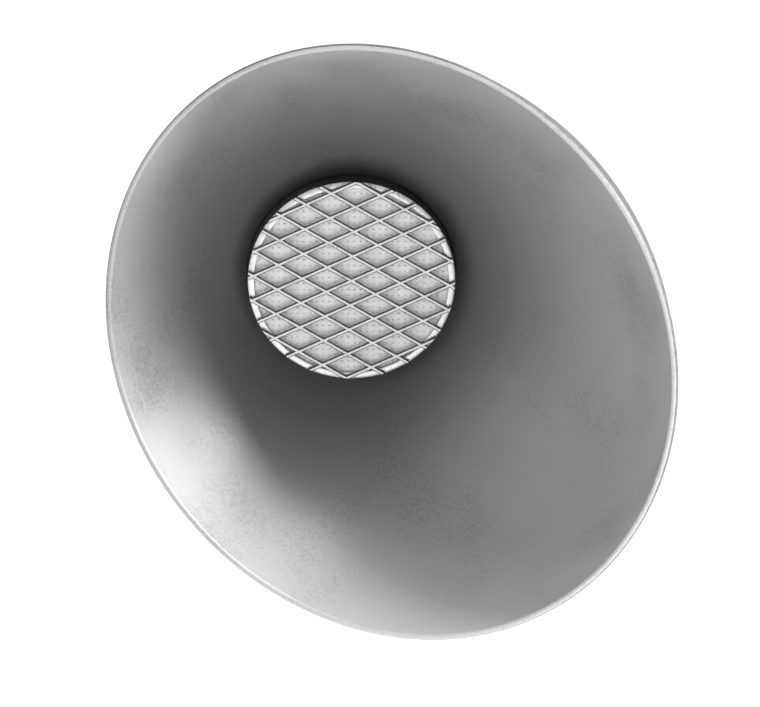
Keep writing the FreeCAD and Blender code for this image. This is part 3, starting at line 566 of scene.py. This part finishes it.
bpy.ops.mesh.normals_make_consistent(inside=False)
bpy.ops.object.mode_set(mode="OBJECT")
cut(tile, round_bar("tile_die", TILE_RADIUS, TILE_BACK - 2, TILE_FACE + 2, sides=96), "INTERSECT")
ceramic = surface("pressed_ceramic", (0.86, 0.85, 0.83), (0.97, 0.965, 0.95), 0.85, 0, 1600, 0.12, 90)
lay_over(tile, "burner", "tile_ceramic", ceramic, "ceramic_tile")
fibre = surface("pressed_fibre", (0.6, 0.58, 0.53), (0.86, 0.84, 0.79), 0.95, 0, 2400, 0.2, 160)
wrap = turned("fibre_band", [(37.3, TILE_BACK), (38.5, TILE_BACK), (38.5, TILE_FACE), (37.3, TILE_FACE)],
              soft=0.25)
lay_over(wrap, "burner", "fibre", fibre, "tile_wrap")

# --- Plenum ------------------------------------------------------------------------------------------
# A drawn steel pan closes the back of the cup and feeds the tile. Six hexagon screws with washers and nuts
# clamp the two flanges over a fibre gasket, and a pierced baffle on legs spreads the mixture inside. The
# baffle, both gaskets and the tile's shelf keep the shapes that they have in the frame.

TUBE_CIRCLE = 20.5
TUBE_BOLTS = [45 + 90 * i for i in range(4)]
HEX_FLATS = 7.0
HEX_HEIGHT = 2.8
SCREW_RADIUS = 1.98
SCREW_ROOT = 1.66
SCREW_PITCH = 0.7
SCREW_END = 1.2
WASHER_SHEET = 1.0

pan = turned("plenum_pan", [
    (13.0, 141.2), (28.0, 141.2), (29.4, 141.6), (36.8, 147.2), (37.4, 148.6), (37.4, 159.7), (37.9, 160.2),
    (49.0, 160.2), (49.0, 161.2), (36.4, 161.2), (36.4, 148.5), (28.6, 142.2), (13.0, 142.2)],
    steps=128, soft=0.15)
drilled(pan, 158, 163, PLENUM_CIRCLE, PLENUM_BOLTS)
drilled(pan, 139, 144, TUBE_CIRCLE, TUBE_BOLTS)
lay_over(pan, "burner", "sheet_metal", sheet_steel, "plenum")


def six_sided(name, flats, low, high, bore=0.0):
    """A hexagon bar whose corners are chamfered at both ends, with an optional bore."""
    corner = flats / math.sqrt(3)
    chamfer = (corner - flats / 2) * 0.6
    blank = turned(name + "_blank", [
        (0, low), (flats / 2, low), (corner, low + chamfer), (corner, high - chamfer), (flats / 2, high),
        (0, high)], closed=False, steps=48)
    block = round_bar(name, corner, low - 1, high + 1, sides=6)
    cut(block, blank, "INTERSECT")
    if bore:
        cut(block, round_bar("tap", bore, low - 1, high + 1))
    return shape(block, "BEVEL", width=0.12 * MM, segments=1, limit_method="ANGLE", angle_limit=0.6)


def moved(piece, across):
    """Shifts a finished piece off the axis, towards +X."""
    piece.location = (across * MM, 0, 0)
    return settled(piece)


def bolted(prefix, circle, turns, head_top, clamped_top):
    """Makes the screws, washers and nuts of one flange, each kind as one object."""
    washer_top = clamped_top + WASHER_SHEET
    end = washer_top + HEX_HEIGHT + SCREW_END
    head = six_sided("head", HEX_FLATS, head_top - HEX_HEIGHT, head_top)
    profile = [(0, head_top - 0.2), (SCREW_RADIUS, head_top - 0.2)]
    along = head_top + 1.0
    while along < end - 1.0:
        profile += [(SCREW_RADIUS, along), (SCREW_ROOT, along + SCREW_PITCH / 2)]
        along += SCREW_PITCH
    profile += [(SCREW_RADIUS, end - 0.6), (1.5, end), (0, end)]
    screw = joined("screw", [head, turned("shank", profile, closed=False, steps=24)])
    screws = copied_round(prefix + "_bolts", moved(screw, circle), turns)
    lay_over(screws, "burner", "fastener_steel", zinc_plate, prefix + "_screws")
    washer = turned("washer", [(2.15, clamped_top), (3.9, clamped_top), (3.9, washer_top),
                               (2.15, washer_top)], steps=32, soft=0.15)
    cut(washer, box("slit", (3, 0, clamped_top + WASHER_SHEET / 2), (4, 0.5, 3), (25, 0, 0)))
    washers = copied_round(prefix + "_spring_washers", moved(washer, circle), turns)
    lay_over(washers, "burner", "fastener_steel", zinc_plate, prefix + "_washers")
    nut = six_sided("nut", HEX_FLATS, washer_top, washer_top + HEX_HEIGHT, bore=2.02)
    nuts = copied_round(prefix + "_hex_nuts", moved(nut, circle), turns)
    lay_over(nuts, "burner", "fastener_steel", zinc_plate, prefix + "_nuts")


bolted("plenum", PLENUM_CIRCLE, PLENUM_BOLTS, head_top=160.2, clamped_top=163.4)
for name, material in (("plenum_gasket", fibre), ("tube_gasket", fibre),
                       ("baffle_plate", sheet_steel), ("tile_shelf", sheet_steel)):
    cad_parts[name].data.materials.clear()
    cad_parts[name].data.materials.append(material)

# --- Mixer tube --------------------------------------------------------------------------------------
# The venturi draws air in round the gas jet and mixes it. It is a swaged steel tube with a waist and a
# flange, which four screws hold to the plenum's floor over a second gasket.

mixer = turned("mixer_venturi", [
    (12.0, 72.0), (12.0, 82.0), (11.6, 84.0), (10.3, 90.2), (10.0, 92.0), (10.0, 100.0), (10.2, 103.0),
    (13.7, 136.0), (14.6, 138.6), (15.6, 139.0), (26.0, 139.0), (26.0, 140.0), (13.0, 140.0), (12.7, 137.2),
    (9.2, 103.0), (9.0, 100.0), (9.0, 92.0), (9.3, 90.2), (10.6, 84.0), (11.0, 82.0), (11.0, 72.0)],
    soft=0.12)
drilled(mixer, 137, 142, TUBE_CIRCLE, TUBE_BOLTS)
lay_over(mixer, "burner", "sheet_metal", sheet_steel, "mixer_tube")
bolted("tube", TUBE_CIRCLE, TUBE_BOLTS, head_top=139.0, clamped_top=142.2)

# --- Air box -----------------------------------------------------------------------------------------
# The drawn can round the jet has four air windows. Its necked end slips over the mixer tube and is held by
# two pan-head screws.

WINDOW_SIDE = 17
WINDOW_MIDDLE = 37.5
WINDOW_CORNER = 1.2
NECK_RADIUS = 13.15
CLAMP_HEIGHT = 51.0
CLAMP_TURN = 21


def windows(reach):
    """A cross-shaped punch that cuts all four air windows at once."""
    punches = []
    for turn in (0, 90):
        punch = box("punch", (0, 0, WINDOW_MIDDLE), (reach * 2, WINDOW_SIDE, WINDOW_SIDE), (0, 0, turn))
        punches.append(shape(punch, "BEVEL", width=WINDOW_CORNER * MM, segments=3, limit_method="ANGLE"))
    return cut(punches[0], punches[1], "UNION")


def side_drill(radius, reach, height, turn):
    """A drill that points at the axis from one side."""
    drill = round_bar("side_drill", radius, 0, reach)
    drill.rotation_euler = (0, math.radians(90), math.radians(turn))
    drill.location.z = height * MM
    return settled(drill)


can = turned("air_can", [
    (6.15, 22.0), (22.8, 22.0), (23.6, 22.3), (24.0, 23.2), (24.0, 57.4), (23.6, 58.4), (13.6, 67.6),
    (NECK_RADIUS, 68.6), (NECK_RADIUS, 79.0), (12.15, 79.0), (12.15, 68.2), (12.8, 66.9), (22.9, 57.8),
    (23.0, 57.0), (23.0, 23.4), (22.6, 23.0), (6.15, 23.0)], soft=0.1)
cut(can, windows(26))
cut(can, side_drill(1.6, 26, CLAMP_HEIGHT, CLAMP_TURN))
lay_over(can, "burner", "sheet_metal", sheet_steel, "air_box")
neck_screw = side_screw("neck_screw", NECK_RADIUS, height=75.0, shank=2.6)
neck_screws = copied_round("neck_pan_screws", neck_screw, [90, 270])
lay_over(neck_screws, "burner", "fastener_steel", zinc_plate, "neck_screws")

# --- Air shutter -------------------------------------------------------------------------------------
# A loose steel sleeve turns by 42 degrees on the air box to close its windows. It is turned by a finger
# tab, and a knurled brass screw through its slot clamps it.

SLOT_HALF = 1.9
TAB_CORNER = 2.4
KNURLS = 30

sleeve = turned("shutter_sleeve", [(24.3, 25.0), (25.3, 25.0), (25.3, 56.0), (24.3, 56.0)], steps=128)
cut(sleeve, windows(28))
slot_low, slot_high = CLAMP_HEIGHT - SLOT_HALF, CLAMP_HEIGHT + SLOT_HALF
slot = turned("slot_cutter", [(23, slot_low), (27, slot_low), (27, slot_high), (23, slot_high)], steps=120)
sine, cosine = math.sin(math.radians(CLAMP_TURN)), math.cos(math.radians(CLAMP_TURN))
bpy.ops.object.mode_set(mode="EDIT")
bpy.ops.mesh.select_all(action="SELECT")
bpy.ops.mesh.bisect(plane_co=(0, 0, 0), plane_no=(-sine, cosine, 0), use_fill=True, clear_outer=True)
bpy.ops.mesh.select_all(action="SELECT")
bpy.ops.mesh.bisect(plane_co=(0, 0, 0), plane_no=(sine, cosine, 0), use_fill=True, clear_inner=True)
bpy.ops.object.mode_set(mode="OBJECT")
cut(sleeve, slot)
for turn in (-CLAMP_TURN, CLAMP_TURN):
    cut(sleeve, side_drill(SLOT_HALF, 30, CLAMP_HEIGHT, turn))
tab = box("tab", (-28.9, 0, CLAMP_HEIGHT), (8.2, 1, 7))
pick_edges(tab, lambda start, end: max(start.x, end.x) < -30 * MM and abs(start.y - end.y) > 0.5 * MM)
bpy.ops.mesh.bevel(offset=TAB_CORNER * MM, segments=6, affect="EDGES")
bpy.ops.object.mode_set(mode="OBJECT")
cut(sleeve, tab, "UNION")
shape(sleeve, "BEVEL", width=0.15 * MM, segments=2, limit_method="ANGLE", angle_limit=0.9)
satin_steel = surface("satin_steel", (0.34, 0.34, 0.34), (0.5, 0.5, 0.49), 0.42, 1, 800, 0.03)
lay_over(sleeve, "shutter", "shutter_metal", satin_steel, "air_shutter")

thumb = turned("thumb_head", [(0, 25.6), (3.5, 25.6), (4.0, 26.1), (4.0, 29.4), (3.4, 30.1), (1.9, 30.1),
                              (1.6, 29.7), (0, 29.7)], closed=False, steps=48)
groove = round_bar("knurl", 0.22, 25, 31, 4.05, sides=8)
cut(thumb, copied_round("knurls", groove, [360 / KNURLS * i for i in range(KNURLS)]))
clamp = joined("thumb_screw", [thumb, round_bar("thumb_shank", 1.48, 21, 25.8)])
clamp.rotation_euler = (0, math.radians(90), math.radians(CLAMP_TURN))
clamp.location.z = CLAMP_HEIGHT * MM
settled(clamp)
brass = surface("machined_brass", (0.5, 0.36, 0.15), (0.74, 0.56, 0.27), 0.28, 1, 1300, 0.02, 120)
lay_over(clamp, "burner", "brass", brass, "shutter_clamp_screw")

# --- Gas fitting -------------------------------------------------------------------------------------
# A brass fitting takes the hose on its flared, threaded end. Its shank passes through the bracket and the
# air box, where a washer and a lock nut clamp it, and carries the jet in its end.

THREAD_PITCH = 1.41
THREAD_LENGTH = 12.0
THREAD_ROOT = 6.95
THREAD_CREST = 7.9
GAS_WAY = 3.4

thread = [(GAS_WAY, -2.8), (5.2, -2.8), (7.1, -0.6)]
for i in range(int(THREAD_LENGTH / THREAD_PITCH)):
    along = i * THREAD_PITCH
    thread += [(THREAD_ROOT, 0.3 + along), (THREAD_CREST, 0.9 + along), (THREAD_CREST, 1.15 + along)]
thread += [(THREAD_ROOT, 12.2), (THREAD_ROOT, 13.4), (GAS_WAY, 13.4)]
inlet = turned("inlet_thread", thread, steps=64)
hexagon = six_sided("holder_block", 19.0, 13.0, 20.0, bore=GAS_WAY)
shank = [(GAS_WAY, 19.8), (6.0, 19.8), (6.0, 24.0)]
shank += [point for i in range(9) for point in ((6.0, 24.4 + i), (5.5, 24.9 + i))]
shank += [(5.6, 33.7), (5.3, 34.0), (GAS_WAY, 34.0)]
holder = joined("brass_holder", [inlet, hexagon, turned("holder_shank", shank, steps=48)])
lay_over(holder, "burner", "brass", brass, "orifice_holder")
lay_over(turned("wide_washer", [(6.15, 23.0), (9.0, 23.0), (9.0, 24.0), (6.15, 24.0)], steps=48, soft=0.15),
         "burner", "fastener_steel", zinc_plate, "holder_washer")
lay_over(six_sided("lock_nut", 17.0, 24.0, 29.0, bore=6.02), "burner", "brass", brass, "holder_lock_nut")
jet_head = six_sided("jet_head", 9.0, 34.0, 38.0, bore=1.8)
jet_body = turned("jet_body", [(1.8, 28.0), (3.3, 28.0), (3.3, 34.2), (1.8, 34.2)], steps=32)
jet_nose = turned("jet_nose", [
    (1.8, 37.8), (3.0, 37.8), (3.0, 42.0), (2.2, 43.0), (0.65, 43.0), (0.65, 41.5), (1.8, 41.0)], steps=32)
lay_over(joined("brass_jet", [jet_head, jet_body, jet_nose]), "burner", "brass", brass, "gas_jet")

# --- Bracket -----------------------------------------------------------------------------------------
# A bent plate of 2 mm steel, unevenly painted black, is clamped behind the air box. Its foot has four holes
# for the screws that carry the burner.

PLATE_SHEET = 2
PLATE_WIDTH = 34
PLATE_TOP = 17
PLATE_BACK = 20
FOOT_LEVEL = -46
FOOT_LENGTH = 52
FOLD_RADIUS = 3
FOOT_HOLES = [(x, z) for x in (-10, 10) for z in (36, 61)]

bracket = first_point("bent_bracket", 0, PLATE_TOP, PLATE_BACK)
for step in ((0, FOOT_LEVEL - PLATE_TOP, 0), (0, 0, FOOT_LENGTH)):
    bpy.ops.mesh.extrude_region_move(TRANSFORM_OT_translate={"value": [MM * along for along in step]})
bpy.ops.mesh.select_all(action="SELECT")
bpy.ops.transform.translate(value=(-PLATE_WIDTH / 2 * MM, 0, 0))
bpy.ops.mesh.extrude_region_move(TRANSFORM_OT_translate={"value": (PLATE_WIDTH * MM, 0, 0)})
bpy.ops.object.mode_set(mode="OBJECT")
fold = Vector((FOOT_LEVEL, PLATE_BACK)) * MM
pick_edges(bracket, lambda *ends: all((end.yz - fold).length < 0.01 * MM for end in ends))
bpy.ops.mesh.bevel(offset=FOLD_RADIUS * MM, segments=8, affect="EDGES")
bpy.ops.mesh.select_all(action="SELECT")
bpy.ops.mesh.normals_make_consistent(inside=False)
bpy.ops.object.mode_set(mode="OBJECT")
shape(bracket, "SOLIDIFY", thickness=PLATE_SHEET * MM, offset=-1)
shape(bracket, "BEVEL", width=0.3 * MM, segments=2, limit_method="ANGLE", angle_limit=1.0)
cut(bracket, round_bar("shank_drill", 6.15, 15, 25, sides=48))
for x, z in FOOT_HOLES:
    drill = round_bar("mount_drill", 2.75, 0, 20)
    drill.rotation_euler = (math.radians(90), 0, 0)
    drill.location = (x * MM, -35 * MM, z * MM)
    cut(bracket, settled(drill))
black_paint = surface("black_paint", (0.025, 0.025, 0.026), (0.07, 0.07, 0.07), 0.5, 0, 900, 0.05, 25)
lay_over(bracket, "burner", "bracket_metal", black_paint, "mounting_bracket")
